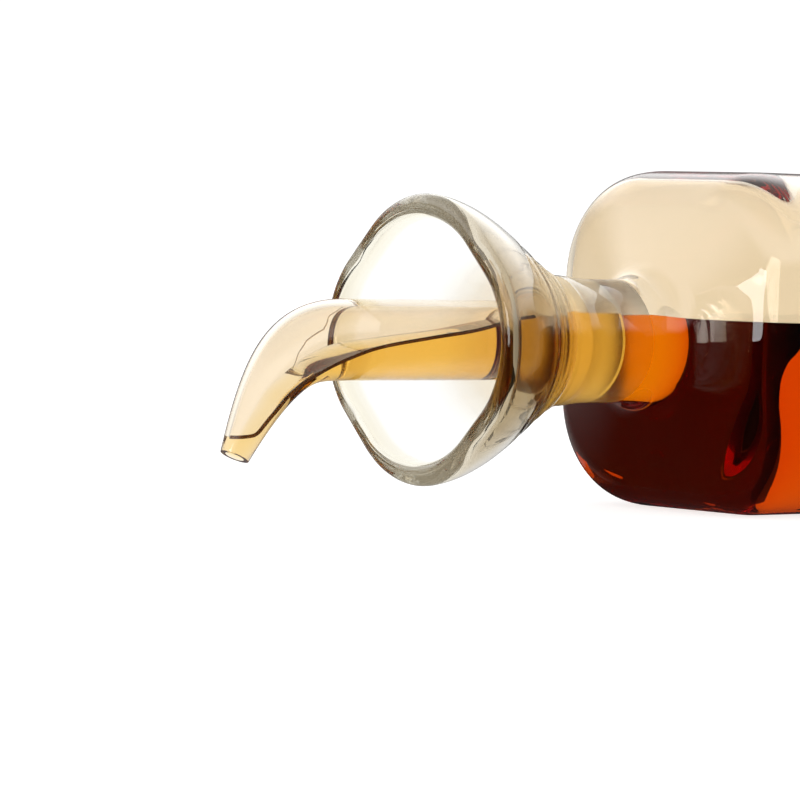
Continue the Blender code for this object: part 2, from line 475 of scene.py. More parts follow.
GROUND_BORE = GlassFinish(
    "ground_bore_glass",
    ((0.0, (0.99, 0.95, 0.86)),),
    roughness=0.42,
    ior=1.22,
    bumps=(Relief(60.0), Relief(1400.0, 0.00004, 3.0)),
)


@dataclass(frozen=True)
class SauceFinish:
    """Clear soy sauce: golden where it is thin, dark red-brown where it is deep.

    Light is bent where the sauce meets air. Where it lies against glass, the wetted glass bends it.
    """

    name: str = "clear_soy_sauce"
    density: float = 135.0
    passed: Colour = (0.977, 0.77, 0.0)

    def build(self) -> bpy.types.Material:
        """Make the material: clear liquid that takes blue and then green out of the light."""
        clear = {"Base Color": WHITE, "Roughness": 0.0, "Transmission Weight": 1.0, "IOR": SAUCE_IOR}
        material, tree, shader = new_look(self.name, clear)
        free = add_node(tree, "Attribute", {}, attribute_name=FREE).outputs["Fac"]
        bend = add_node(tree, "MapRange", {"Value": free, "To Min": 1.0, "To Max": SAUCE_IOR})
        feed(tree, shader, {"IOR": bend.outputs["Result"]})
        absorb = add_node(tree, "VolumeAbsorption", {"Color": (*self.passed, 1.0), "Density": self.density})
        feed(tree, tree.nodes["Material Output"], {"Volume": absorb.outputs["Volume"]})
        return material


@dataclass(frozen=True)
class LineFinish:
    """The look of a thin line of sauce on glass, cloudy between a share less and a share more: amber on the
    film's edge, and on the rim a dark brown that is painted shade.
    """

    name: str
    colour: Colour
    transmission: float
    roughness: float = 0.12
    cloud_scale: float = 220.0
    cloud_shares: Span = (0.6, 1.4)

    def build(self) -> bpy.types.Material:
        """Make the material."""
        values = {"Roughness": self.roughness, "IOR": SAUCE_IOR, "Transmission Weight": self.transmission}
        material, tree, shader = new_look(self.name, values)
        place = add_node(tree, "TexCoord", {}).outputs["Object"]
        cloud = add_node(tree, "TexNoise", {"Vector": place, "Scale": self.cloud_scale}).outputs["Fac"]
        ramp = add_node(tree, "ValToRGB", {"Fac": cloud})
        for stop, share in zip(ramp.color_ramp.elements, self.cloud_shares):
            stop.color = (*(min(part * share, 1.0) for part in self.colour), 1.0)
        feed(tree, shader, {"Base Color": ramp.outputs["Color"]})
        return material


@dataclass
class Bottle:
    """The bottle: a square body with a domed shoulder, a ground neck and a funnel mouth."""

    half: float = 0.035
    corner: float = 0.0215
    wall: float = 0.0025
    base_x: float = 0.050
    base_edge: float = 0.008
    base_thickness: float = 0.005
    punt_depth: float = 0.0015
    punt_half: float = 0.022
    punt_shares: tuple = ((1.0, 0.5), (0.5, 0.8), (0.0, 1.0))
    least_corner: float = 0.02
    shoulder_x: float = -0.0215
    edge: Span = (-0.0358, 0.0285)
    edge_lead: float = 0.0060
    root: Span = (-0.0405, 0.0172)
    root_lead: float = 0.0028
    neck: Span = (-0.0480, 0.0125)
    neck_end_x: float = -0.0580
    throat: Span = (-0.0670, 0.0132)
    bore_end: Span = (-0.0480, 0.0092)
    bore_throat: Span = (-0.0715, 0.0104)
    mouth: Span = (-0.0994, 0.0267)
    mouth_roundness: float = 0.83
    mouth_turn: float = math.radians(45.0)
    flare_lead: Span = (-0.0770, 0.0153)
    mouth_lead: Span = (-0.0870, 0.0254)
    lip_thickness: float = 0.0044
    inner_mouth_lead: Span = (-0.0870, 0.0222)
    inner_flare_lead: Span = (-0.0775, 0.0118)
    ripple_depth: float = 0.00022
    ripple_length: float = 0.0046
    ripple_ends: Span = (-0.0860, -0.0680)
    steps: int = 28
    polished: GlassFinish = GlassFinish(
        "polished_bottle_glass",
        (
            # The first two bands darken the lip to a grey-beige, which is painted shade. The others are clear
            # in the mouth, darker round the throat, near clear at the neck and warm on the body.
            (-0.1030, (0.84, 0.78, 0.60)),
            (-0.0985, (0.86, 0.80, 0.62)),
            (-0.0970, (1.00, 1.00, 0.99)),
            (-0.0830, (1.00, 1.00, 0.98)),
            (-0.0750, (0.82, 0.75, 0.62)),
            (-0.0690, (0.91, 0.84, 0.71)),
            (-0.0560, (1.00, 0.97, 0.92)),
            (-0.0410, (0.92, 0.815, 0.65)),
            (0.0500, (0.92, 0.815, 0.65)),
        ),
    )
    ground: GlassFinish = GROUND_BORE

    @property
    def flat(self) -> float:
        """Half the straight length of a side of the body."""
        return self.half - self.corner

    def around(self, x: float, radius: float, angle: float) -> Vector:
        """A point round the axis, at an angle from straight below it."""
        return Vector((x, radius * math.sin(angle), self.half - radius * math.cos(angle)))

    def ring(self, x: float, half: float, flat: float, turn: float = 0.0) -> Ring:
        """A rounded square across the axis.

        Args:
            x: Its place along the axis.
            half: Half its width.
            flat: Half the straight length of its sides.
            turn: Its turn about the axis.

        Returns:
            Its points.
        """
        corner = half - min(flat, half * (1.0 - self.least_corner))
        return [self.around(x, square_radius(half, corner, angle - turn), angle) for angle in TURNS]

    def shoulder_flat(self, half: float, inset: float) -> float:
        """Half the straight length of a side where the section narrows to the neck."""
        return self.flat * smoothstep((half + inset - self.root[1]) / (self.half - self.root[1]))

    def mouth_ring(self, x: float, half: float) -> Ring:
        """A ring of the funnel, round at the throat and a soft square at the mouth."""
        opening = smoothstep((self.throat[0] - x) / (self.throat[0] - self.mouth[0]))
        flat = half * (1.0 - self.mouth_roundness) * opening
        return self.ring(x, half, flat, self.mouth_turn)

    def base_profile(self, inset: float) -> Profile:
        """Profile of the base's rounded edge, an inset inside the outer surface."""
        back = self.base_x - (self.base_thickness if inset else 0.0)
        edge = self.base_edge - inset
        centre = (back - edge, self.half - self.base_edge)
        return arc(centre, edge, 0.0, math.pi / 2, self.steps // 2)

    def shoulder_profile(self, inset: float) -> Profile:
        """Profile of the shoulder and its fillet into the neck, an inset inside the outer surface."""
        edge = (self.edge[0] + inset, self.edge[1] - inset / 2)
        root = (self.root[0] + inset, self.root[1] - inset / 2)
        neck = self.bore_end if inset else self.neck
        slope = Vector((edge[0] - root[0], edge[1] - root[1])).normalized()
        over = bezier(
            (self.shoulder_x, self.half - inset),
            (self.shoulder_x - self.edge_lead - inset, self.half - inset),
            (edge[0] + slope.x * self.edge_lead, edge[1] + slope.y * self.edge_lead),
            edge,
            self.steps,
        )
        fillet = bezier(
            root,
            (root[0] - slope.x * self.root_lead, root[1] - slope.y * self.root_lead),
            (neck[0] + 2 * self.root_lead * smoothstep(1.0 - inset / self.half), neck[1]),
            neck,
            self.steps,
        )
        return over + fillet

    def funnel_outside(self) -> Profile:
        """Profile of the funnel's outer wall, from the throat to the lip."""
        return bezier(self.throat, self.flare_lead, self.mouth_lead, self.mouth, self.steps)

    def throat_outside(self) -> Profile:
        """Profile from the neck to the lip, with the worked glass's soft rings round the throat."""
        neck_end = (self.neck_end_x, self.neck[1])
        span = self.neck_end_x - self.throat[0]
        joint = bezier(
            neck_end,
            (neck_end[0] - span / 3, neck_end[1]),
            (self.throat[0] + span / 3, self.throat[1]),
            self.throat,
            self.steps,
        )
        first, last = self.ripple_ends
        rippled = []
        for x, half in joint + self.funnel_outside()[1:]:
            share = (x - first) / (last - first)
            swell = math.sin(math.pi * share) if 0.0 < share < 1.0 else 0.0
            wave = math.sin(2 * math.pi * x / self.ripple_length)
            rippled.append((x, half + self.ripple_depth * swell * (wave - 1.0)))
        return rippled

    def lip(self) -> Profile:
        """Profile of the round lip."""
        along = Vector((self.mouth[0] - self.mouth_lead[0], self.mouth[1] - self.mouth_lead[1]))
        along.normalize()
        radius = self.lip_thickness / 2
        outward = Vector((along.y, -along.x))
        middle = Vector(self.mouth) - outward * radius
        first = math.atan2(outward.y, outward.x)
        return arc(middle, radius, first, first + math.pi, self.steps // 2)

    def funnel_inside(self) -> Profile:
        """Profile of the funnel's inner wall, from the lip to the bore."""
        start = self.lip()[-1]
        return bezier(start, self.inner_mouth_lead, self.inner_flare_lead, self.bore_throat, self.steps)

    def hollow_rings(self, inset: float, soak: float = 0.0) -> list[Ring]:
        """Rings of the body and shoulder.

        Args:
            inset: How far inside the outer surface they lie.
            soak: How far they reach back into the wall.

        Returns:
            The rings, from the base to the neck.
        """
        rings = []
        for x, half in self.base_profile(inset):
            rings.append(self.ring(x + soak, half + soak, self.flat))
        for x, half in self.shoulder_profile(inset):
            rings.append(self.ring(x - soak, half + soak, self.shoulder_flat(half, inset)))
        return rings

    def bore_half(self, x: float) -> float:
        """Half the ground bore's width at a place along the axis."""
        t = (x - self.bore_throat[0]) / (self.bore_end[0] - self.bore_throat[0])
        return self.bore_throat[1] + (self.bore_end[1] - self.bore_throat[1]) * t

    def build(self, sauce_line: Profile) -> bpy.types.Object:
        """Make the bottle, from the middle of its base, over its lip, to the inside of its base.

        Args:
            sauce_line: Height of the sauce along the bottle.

        Returns:
            The bottle.
        """
        punt = [
            self.ring(self.base_x - self.punt_depth * deep, self.punt_half * wide, 0.0)
            for deep, wide in self.punt_shares
        ]
        sweep = RingSweep(punt[0])
        sweep.steps(punt[1:] + self.hollow_rings(0.0))
        funnel = self.throat_outside() + self.lip()[1:] + self.funnel_inside()[1:]
        sweep.steps([self.mouth_ring(x, half) for x, half in funnel])
        inside = self.hollow_rings(self.wall)[::-1]
        sweep.step(inside[0], Surface.GROUND)
        sweep.steps(inside[1:], Surface.WETTED)
        sweep.cap_both()
        sweep.wet_cap()
        sweep.dry_above(sauce_line, self.half)
        piece = add_piece("bottle", sweep.mesh("bottle"), self.polished.looks(self.ground))
        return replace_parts(piece, Node.BOTTLE.value)


@dataclass
class Spout:
    """The spout: a ground plug, a straight tube and a bent, tapered nozzle."""

    bottle: Bottle
    joint_gap: float = -0.00004
    plug_end_x: float = -0.0560
    plug_top_x: float = -0.0745
    plug_round: float = 0.0050
    tube_half: float = 0.0079
    tube_wall: float = 0.0013
    bend_x: float = -0.1194
    bend_reach: float = 0.0102
    tip_x: float = -0.1458
    tip_drop: float = 0.0222
    tip_lead: float = 0.0225
    tip_angle: float = math.radians(64.5)
    tip_half: float = 0.00286
    tip_wall: float = 0.0010
    taper_power: float = 2.1
    bend_steps: int = 48
    straight_steps: int = 10
    tube_steps: int = 70
    wall_steps: int = 200
    polished: GlassFinish = GlassFinish(
        "polished_spout_glass", ((0.0, (0.96, 0.87, 0.73)),), bumps=(Relief(90.0),)
    )
    ground: GlassFinish = replace(GROUND_BORE, name="ground_plug_glass")

    def stations(self) -> list[tuple[Vector, Vector, float, float]]:
        """Stations down the spout as (centre, direction, outer radius, inner radius), plug end first."""
        height = self.bottle.half
        plug_top = self.bottle.bore_half(self.bottle.bore_throat[0]) - self.joint_gap
        plug_end = self.bottle.bore_half(self.plug_end_x) - self.joint_gap
        straight = [(self.plug_end_x, plug_end), (self.bottle.bore_throat[0], plug_top)]
        for i in range(self.straight_steps + 1):
            t = i / self.straight_steps
            outer = plug_top + (self.tube_half - plug_top) * smoothstep(t)
            straight.append((self.plug_top_x - self.plug_round * t, outer))
        tube_start = straight[-1][0]
        for i in range(1, self.tube_steps):
            x = tube_start + (self.bend_x - tube_start) * i / self.tube_steps
            straight.append((x, self.tube_half))
        made = [(Vector((x, 0.0, height)), FORWARD, r, r - self.tube_wall) for x, r in straight]
        knots = self.knots()
        for i, centre in enumerate(interpolate_bezier(*knots, self.bend_steps + 1)):
            t = i / self.bend_steps
            outer = self.bend_half(t)
            wall = self.tube_wall + (self.tip_wall - self.tube_wall) * t**self.taper_power
            made.append((centre, self.direction(knots, t), outer, outer - wall))
        return made

    def bend_half(self, share: float) -> float:
        """The bend's outer radius at a share of its length."""
        return self.tube_half + (self.tip_half - self.tube_half) * share**self.taper_power

    def knots(self) -> tuple[Vector, Vector, Vector, Vector]:
        """Control points of the bend's centre line."""
        tip = Vector((self.tip_x, 0.0, self.bottle.half - self.tip_drop))
        aim = Vector((-math.cos(self.tip_angle), 0.0, -math.sin(self.tip_angle)))
        start = Vector((self.bend_x, 0.0, self.bottle.half))
        return start, start + FORWARD * self.bend_reach, tip - aim * self.tip_lead, tip

    @staticmethod
    def direction(knots: tuple[Vector, Vector, Vector, Vector], t: float) -> Vector:
        """Direction of a cubic curve at a share of its length."""
        first, second, third = (knots[i + 1] - knots[i] for i in range(3))
        return (first * (1 - t) ** 2 + second * 2 * t * (1 - t) + third * t * t).normalized()

    @staticmethod
    def around(direction: Vector, angle: float) -> Vector:
        """The way outwards from a line's direction, at an angle from its lowest side."""
        down = Vector((direction.z, 0.0, -direction.x)).normalized()
        if down.z > 0:
            down.negate()
        return ACROSS * math.sin(angle) + down * math.cos(angle)

    def ring(self, centre: Vector, direction: Vector, radius: float) -> Ring:
        """A circle across a direction, whose first point is at its lowest side."""
        return [centre + radius * self.around(direction, angle) for angle in TURNS]

    def wall_point(self, share: float, angle: float, sink: float) -> Vector:
        """A point on the inner wall of the bend, whose wall counts as thick as the tube's.

        Args:
            share: Share of the way along the bend.
            angle: Angle round the tube, 0 at its lowest side and positive to +Y.
            sink: How far the point lies inside the glass.

        Returns:
            The point.
        """
        knots = self.knots()
        centres = interpolate_bezier(*knots, self.wall_steps + 1)
        centre = centres[min(max(int(share * self.wall_steps), 0), self.wall_steps)]
        radius = self.bend_half(share) - self.tube_wall + sink
        return centre + radius * self.around(self.direction(knots, share), angle)

    def build(self, sauce_line: Profile) -> bpy.types.Object:
        """Make the spout, down its outside and back up its bore.

        Args:
            sauce_line: Height of the sauce along the spout.

        Returns:
            The spout.
        """
        line = self.stations()
        rings = [self.ring(centre, aim, outer) for centre, aim, outer, _ in line]
        sweep = RingSweep(rings[0])
        sweep.step(rings[1], Surface.GROUND)
        bore = [self.ring(centre, aim, inner) for centre, aim, _, inner in reversed(line)]
        sweep.steps([*rings[2:], bore[0]])
        sweep.steps(bore[1:], Surface.WETTED)
        sweep.join_ends(Surface.WETTED)
        sweep.dry_above(sauce_line, self.bottle.half)
        piece = add_piece("spout", sweep.mesh("spout"), self.polished.looks(self.ground))
        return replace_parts(piece, Node.SPOUT.value)


@dataclass
class Sauce:
    """The sauce, up to its level in the bottle and down its slope through the spout."""

    bottle: Bottle
    spout: Spout
    level: float = 0.0049
    soak: float = 0.00008
    slope_start: float = -0.0740
    slope: tuple[Span, ...] = (
        (-0.0806, 0.0041), (-0.0922, 0.0020), (-0.1032, 0.0007), (-0.1158, -0.0010), (-0.1225, -0.0028),
        (-0.1282, -0.0052), (-0.1355, -0.0095), (-0.1384, -0.0127), (-0.1409, -0.0154), (-0.1430, -0.0180),
    )
    air_end: Span = (-0.1500, -0.0192)
    margin: float = 0.02
    slope_steps: int = 8
    least_rise: float = 0.1
    most_lean: float = 0.01
    overrun: float = 0.01
    slack: float = 2e-5
    sharp_angle: float = math.radians(40.0)
    finish: SauceFinish = SauceFinish()

    def line(self) -> Profile:
        """The sauce's surface from the base to the tip, as (x, height over the axis) pairs."""
        knots = [(self.slope_start, self.level), *self.slope]
        start = (self.bottle.base_x + self.margin, self.level)
        points = [start, knots[0]]
        for i in range(len(knots) - 1):
            before, after = knots[max(i - 1, 0)], knots[min(i + 2, len(knots) - 1)]
            first, last = Vector(knots[i]), Vector(knots[i + 1])
            lead_out = first + (last - Vector(before)) / 6 if i else first
            lead_in = last - (Vector(after) - first) / 6
            points += bezier(knots[i], tuple(lead_out), tuple(lead_in), knots[i + 1], self.slope_steps)[1:]
        return [*points, self.air_end]

    def filled(self) -> Mesh:
        """The whole space that sauce can reach, as if the cruet were full."""
        rings = self.bottle.hollow_rings(self.bottle.wall, self.soak)
        sweep = RingSweep(rings[0])
        sweep.steps(rings[1:])
        end_x = self.spout.plug_end_x - self.soak
        sweep.step(self.bottle.ring(end_x, self.bottle.bore_half(end_x) + self.soak, 0.0))
        line = self.spout.stations()
        start = Vector((end_x, 0.0, self.bottle.half))
        sweep.step(self.spout.ring(start, FORWARD, line[0][3] + self.soak))
        sweep.steps([self.spout.ring(centre, aim, inner + self.soak) for centre, aim, _, inner in line[1:]])
        sweep.cap_both()
        return sweep.mesh("filled")

    def air(self) -> Mesh:
        """The air above the sauce, swept across the cruet."""
        far_x = self.spout.tip_x - self.margin
        back_x = self.bottle.base_x + self.margin
        top = self.bottle.half + self.margin
        outline = [*self.line(), (far_x, self.level), (far_x, top), (back_x, top)]
        bm = bmesh.new()
        side = -self.bottle.half - self.margin
        faces = fill(bm, [(x, side, self.bottle.half + z) for x, z in outline])
        swept = bmesh.ops.extrude_face_region(bm, geom=faces)
        moved = [part for part in swept["geom"] if isinstance(part, bmesh.types.BMVert)]
        bmesh.ops.translate(bm, verts=moved, vec=(0.0, -2 * side, 0.0))
        bmesh.ops.recalc_face_normals(bm, faces=bm.faces)
        return finished_mesh("air", bm)

    def is_free(self, centre: Vector, normal: Vector, line: Profile) -> bool:
        """Whether a face of the sauce lies on its open surface.

        Args:
            centre: The face's centre.
            normal: Its normal.
            line: The surface's line.

        Returns:
            True on the open surface.
        """
        if normal.z < self.least_rise or abs(normal.y) > self.most_lean:
            return False
        place = Vector((centre.x, centre.z - self.bottle.half))
        for first, last in pairwise(line):
            along = Vector(last) - Vector(first)
            share = (place - Vector(first)).dot(along) / along.length_squared
            off = (place - Vector(first) - along * share).length
            if -self.overrun <= share <= 1.0 + self.overrun and off < self.slack:
                return True
        return False

    def build(self) -> bpy.types.Object:
        """Make the sauce by cutting the air from the filled space."""
        body = put("filled", self.filled())
        air = put("air", self.air())
        cut = body.modifiers.new("air", "BOOLEAN")
        cut.operation = "DIFFERENCE"
        cut.object = air
        mesh = worked_out(body)
        for part in (body, air):
            bpy.data.objects.remove(part, do_unlink=True)
        mesh.set_sharp_from_angle(angle=self.sharp_angle)
        mesh.materials.clear()
        line = self.line()
        free = mesh.attributes.new(FREE, "FLOAT", "FACE")
        for face, share in zip(mesh.polygons, free.data):
            share.value = float(self.is_free(face.center, face.normal, line))
        piece = add_piece("sauce", mesh, [self.finish.build()])
        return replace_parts(piece, Node.SAUCE.value)


@dataclass
class Marks:
    """Small things in the glass: the sauce's rim, whose dark brown is painted shade, the wet film's edge,
    bubbles, grinding dots.

    The film's edge passes places in the bend, each a share of its length and an angle in degrees round
    it. The first bubble is set in the bend's wall, and the others are scattered in the funnel's glass.
    """

    bottle: Bottle
    spout: Spout
    rim_radius: float = 0.00034
    rim_spacing: float = 0.0006
    rim_end_x: float = -0.0790
    film_line: tuple[Span, ...] = (
        (0.105, -154), (0.240, -140), (0.320, -122), (0.450, -121), (0.530, -114), (0.635, -98),
    )
    film_radius: float = 0.00008
    film_steps: int = 8
    film_wobble: Span = (0.004, 7.0)
    film_rise: float = 0.00005
    first_bubble: tuple[float, float, float] = (0.21, math.radians(-85), 0.0001)
    first_radius: float = 0.00035
    bubble_seed: int = 11
    bubble_count: int = 14
    bubble_depths: Span = (0.0006, 0.0014)
    bubble_radii: Span = (0.00010, 0.00028)
    lip_steps: int = 6
    dot_seed: int = 5
    dot_count: int = 150
    dot_spread: float = 0.0022
    dot_depth: float = 0.0003
    dot_radii: Span = (0.00006, 0.00014)
    # The rim is the sauce's real curved edge; its dark brown is painted shade, the dark line that this curve
    # shows.
    rim: LineFinish = LineFinish("sauce_rim_painted_shade", (0.22, 0.085, 0.02), 0.6)
    film: LineFinish = LineFinish("film_edge", (0.62, 0.50, 0.36), 0.9)
    bubble: GlassFinish = GlassFinish("air_bubble", ((0.0, (1.0, 1.0, 1.0)),), ior=1.02)

    def rim_points(self, mesh: Mesh) -> Ring:
        """Follow the outline of the sauce's open surface from the nozzle up the spout's near side.

        Args:
            mesh: The sauce's mesh.

        Returns:
            Evenly spaced, smoothed points along it.
        """
        bm = bmesh.new()
        bm.from_mesh(mesh)
        layer = bm.faces.layers.float[FREE]
        outline = [
            edge
            for edge in bm.edges
            if len(edge.link_faces) == 2 and edge.link_faces[0][layer] != edge.link_faces[1][layer]
        ]
        nexts: dict = {}
        for edge in outline:
            for vert in edge.verts:
                nexts.setdefault(vert, []).append(edge.other_vert(vert))
        first = min(nexts, key=lambda vert: vert.co.x)
        sides = []
        for start in nexts[first]:
            walk = [first, start]
            while walk[-1].co.x < self.rim_end_x:
                onward = [vert for vert in nexts[walk[-1]] if vert not in walk[-4:]]
                if not onward:
                    break
                walk.append(onward[0])
            sides.append([vert.co.copy() for vert in walk])
        bm.free()
        places = min(sides, key=lambda side: sum(place.y for place in side))
        spaced = [places[0]]
        for place in places[1:]:
            if (place - spaced[-1]).length >= self.rim_spacing:
                spaced.append(place)
        for _ in range(2):
            inner = [(a + b * 2 + c) / 4 for a, b, c in zip(spaced, spaced[1:], spaced[2:])]
            spaced = [spaced[0], *inner, spaced[-1]]
        return spaced

    def add_rim(self, mesh: Mesh) -> None:
        """Lay the rim, dark brown with painted shade, along the near side of the sauce's open surface in the
        spout.
        """
        points = self.rim_points(mesh)
        piece = pipe_mesh("sauce_rim_painted_shade", points, [self.rim_radius] * len(points))
        add_piece("sauce_rim_painted_shade", piece, [self.rim.build()])

    def add_film_edge(self) -> None:
        """Lay the edge of the wet film on the bend's inner wall, thickest at its middle."""
        size, turns = self.film_wobble
        points = []
        for (share, angle), (next_share, next_angle) in pairwise(self.film_line):
            for t in (i / self.film_steps for i in range(self.film_steps)):
                place = share + (next_share - share) * t + math.sin(turns * t + 1.0) * size
                turn = math.radians(angle + (next_angle - angle) * t)
                points.append(self.spout.wall_point(place, turn, -self.film_rise))
        along = [math.pi * i / len(points) for i in range(len(points))]
        taper = [self.film_radius * (0.5 + math.sin(turn)) for turn in along]
        add_piece("film_edge_1", pipe_mesh("film_edge_1", points, taper), [self.film.build()])

    def add_beads(self, name: str, beads: list[tuple[Vector, float]], fineness: int) -> None:
        """Add one piece of small spheres in the bottle's glass.

        Args:
            name: The piece's name.
            beads: Each sphere's centre and radius.
            fineness: How often its faces are split.
        """
        bm = bmesh.new()
        for place, radius in beads:
            made = bmesh.ops.create_icosphere(bm, subdivisions=fineness, radius=radius)
            bmesh.ops.translate(bm, verts=made["verts"], vec=place)
        add_piece(name, finished_mesh(name, bm), [self.bubble.build()])

    def add_bubbles(self) -> None:
        """Set small air bubbles in the funnel's glass and one in the bend's wall."""
        seeds = random.Random(self.bubble_seed)
        beads = [(self.spout.wall_point(*self.first_bubble), self.first_radius)]
        profile = self.bottle.throat_outside()
        for _ in range(self.bubble_count):
            x, half = profile[seeds.randrange(len(profile) // 3, len(profile) - self.lip_steps)]
            angle = seeds.uniform(-math.pi, math.pi)
            place = self.bottle.around(x, half - seeds.uniform(*self.bubble_depths), angle)
            beads.append((place, seeds.uniform(*self.bubble_radii)))
        self.add_beads("bubbles", beads, 3)

    def add_dots(self) -> None:
        """Scatter the bright dots of the grinding round the plug's end."""
        seeds = random.Random(self.dot_seed)
        beads = []
        for _ in range(self.dot_count):
            x = self.spout.plug_end_x - abs(seeds.gauss(0.0, self.dot_spread))
            angle = seeds.uniform(-math.pi, math.pi)
            place = self.bottle.around(x, self.bottle.bore_half(x) + self.dot_depth, angle)
            beads.append((place, seeds.uniform(*self.dot_radii)))
        self.add_beads("grinding_dots", beads, 1)

    def build(self, sauce: bpy.types.Object) -> None:
        """Add all the marks, with the rim round the sauce's open surface."""
        self.add_rim(sauce.data)
        self.add_film_edge()
        self.add_bubbles()
        self.add_dots()


@dataclass(frozen=True)
class View:
    """The photograph's camera: where it looks, from where, and at what size."""

    target: tuple[float, float, float] = (-0.055, 0.0, 0.035)
    azimuth: float = -42.72
    elevation: float = 1.53
    roll: float = 1.70
    distance: float = 0.9
    focal_px: float = 4458.5
    frame_px: float = 800.0
    target_px: Span = (591.97, 340.77)
    sensor: float = 36.0
    clip: Span = (0.05, 50.0)

    def away(self) -> Vector:
        """Direction from the target to the camera."""
        turn, lift = math.radians(self.azimuth), math.radians(self.elevation)
        level = math.cos(lift)
        return Vector((math.sin(turn) * level, -math.cos(turn) * level, math.sin(lift)))

    def axes(self) -> tuple[Vector, Vector]:
        """The picture's right and up, with its roll."""
        back = self.away()
        right = UP.cross(back).normalized()
        up = back.cross(right)
        turn = math.radians(self.roll)
        level, lean = math.cos(turn), math.sin(turn)
        return right * level + up * lean, up * level - right * lean

    def build(self) -> None:
        """Make the camera and give it to the scene."""
        back = self.away()
        right, up = self.axes()
        middle = self.frame_px / 2
        aside = (self.target_px[0] - middle) / self.focal_px
        below = (self.target_px[1] - middle) / self.focal_px
        z_axis = (back + right * aside - up * below).normalized()
        x_axis = up.cross(z_axis).normalized()
        turned = Matrix((x_axis, z_axis.cross(x_axis), z_axis)).transposed()
        data = bpy.data.cameras.new("camera")
        data.sensor_width = self.sensor
        data.lens = self.focal_px * self.sensor / self.frame_px
        data.clip_start, data.clip_end = self.clip
        camera = put("camera", data)
        camera.location = Vector(self.target) + back * self.distance
        camera.rotation_euler = turned.to_euler()
        bpy.context.scene.camera = camera


def add_flat(name: str, bm: bmesh.types.BMesh, look: bpy.types.Material) -> bpy.types.Object:
    """Add a flat thing of the studio.

    Args:
        name: Its name.
        bm: Its shape.
        look: Its material.

    Returns:
        Its object.
    """
    flat = put(name, finished_mesh(name, bm))
    flat.data.materials.append(look)
    return flat


@dataclass(frozen=True)
class Floor:
    """A plain white floor that glows enough to meet the white backdrop."""

    half: float = 5.0
    albedo: float = 0.5
    glow: float = 0.80

    def build(self) -> None:
        """Make the floor, which the glass neither shows nor mirrors."""
        bm = bmesh.new()
        bmesh.ops.create_grid(bm, x_segments=1, y_segments=1, size=self.half)
        floor = add_flat("floor", bm, matte_look("white_floor", self.albedo, self.glow))
        floor.visible_transmission = False
        floor.visible_glossy = False


@dataclass(frozen=True)
class Surround:
    """White surroundings, as the camera and the glass see them.

    Through glass they are dimmer at the sides, overhead and behind the camera. In its reflections they
    are dark but for the backdrop and a soft band overhead. A name with _share or _glow says how bright
    they get, and the name before it where that step starts and ends as a share of the ray's direction.
    """

    toward: Vector
    seen: float = 1.1
    through: float = 1.1
    aside: Span = (0.60, 0.95)
    aside_share: float = 0.45
    overhead: Span = (0.45, 0.85)
    overhead_share: float = 0.65
    mirrored: Span = (0.35, 0.85)
    mirrored_glow: Span = (0.012, 0.28)
    ceiling: Span = (0.20, 0.42)
    ceiling_glow: float = 2.2
    zenith: Span = (0.55, 0.85)
    zenith_share: float = 0.4
    behind: Span = (-0.45, 0.05)
    behind_share: float = 0.45
    lamp: float = 0.9

    def along(self, tree: Tree, direction: Vector) -> Socket:
        """Add the share of a ray's direction along another."""
        ray = add_node(tree, "TexCoord", {}).outputs["Generated"]
        return add_node(tree, "VectorMath", {0: ray, 1: direction}, operation="DOT_PRODUCT").outputs["Value"]

    def maths(self, tree: Tree, operation: str, *values: Socket) -> Socket:
        """Add one step of arithmetic."""
        return add_node(tree, "Math", dict(enumerate(values)), operation=operation).outputs["Value"]

    def ramp(self, tree: Tree, value: Socket, ends: Span, out: Span) -> Socket:
        """Add a smooth step between two values, from where it starts to where it ends."""
        names = ("From Min", "From Max", "To Min", "To Max")
        inputs = {"Value": value, **dict(zip(names, (*ends, *out)))}
        return add_node(tree, "MapRange", inputs, interpolation_type="SMOOTHSTEP").outputs["Result"]

    def through_glass(self, tree: Tree) -> Socket:
        """Add the brightness that shows through glass."""
        across = Vector((-self.toward.y, self.toward.x, 0.0))
        sideways = self.maths(tree, "ABSOLUTE", self.along(tree, across))
        aside = self.ramp(tree, sideways, self.aside, (self.through, self.through * self.aside_share))
        overhead = self.ramp(tree, self.along(tree, UP), self.overhead, (1.0, self.overhead_share))
        behind = self.ramp(tree, self.along(tree, self.toward), self.behind, (self.behind_share, 1.0))
        return self.maths(tree, "MULTIPLY", self.maths(tree, "MULTIPLY", aside, overhead), behind)

    def in_mirrors(self, tree: Tree) -> Socket:
        """Add the brightness that glass mirrors."""
        upwards = self.along(tree, UP)
        backdrop = self.ramp(tree, self.along(tree, self.toward), self.mirrored, self.mirrored_glow)
        ceiling = self.ramp(tree, upwards, self.ceiling, (0.0, self.ceiling_glow))
        zenith = self.ramp(tree, upwards, self.zenith, (1.0, self.zenith_share))
        return self.maths(tree, "ADD", backdrop, self.maths(tree, "MULTIPLY", ceiling, zenith))

    def build(self) -> None:
        """Make the world."""
        world = bpy.data.worlds.new("surround")
        bpy.context.scene.world = world
        world.use_nodes = True
        tree = world.node_tree
        tree.nodes.clear()
        rays = add_node(tree, "LightPath", {}).outputs
        white = {"Color": WHITE, "Strength": self.lamp}
        last = add_node(tree, "Background", white).outputs["Background"]
        chosen = {
            "Is Glossy Ray": self.in_mirrors(tree),
            "Is Transmission Ray": self.through_glass(tree),
            "Is Camera Ray": self.seen,
        }
        for ray, strength in chosen.items():
            light = add_node(tree, "Background", {"Color": WHITE, "Strength": strength}).outputs["Background"]
            last = add_node(tree, "MixShader", {"Fac": rays[ray], 1: last, 2: light}).outputs["Shader"]
        add_node(tree, "OutputWorld", {"Surface": last})


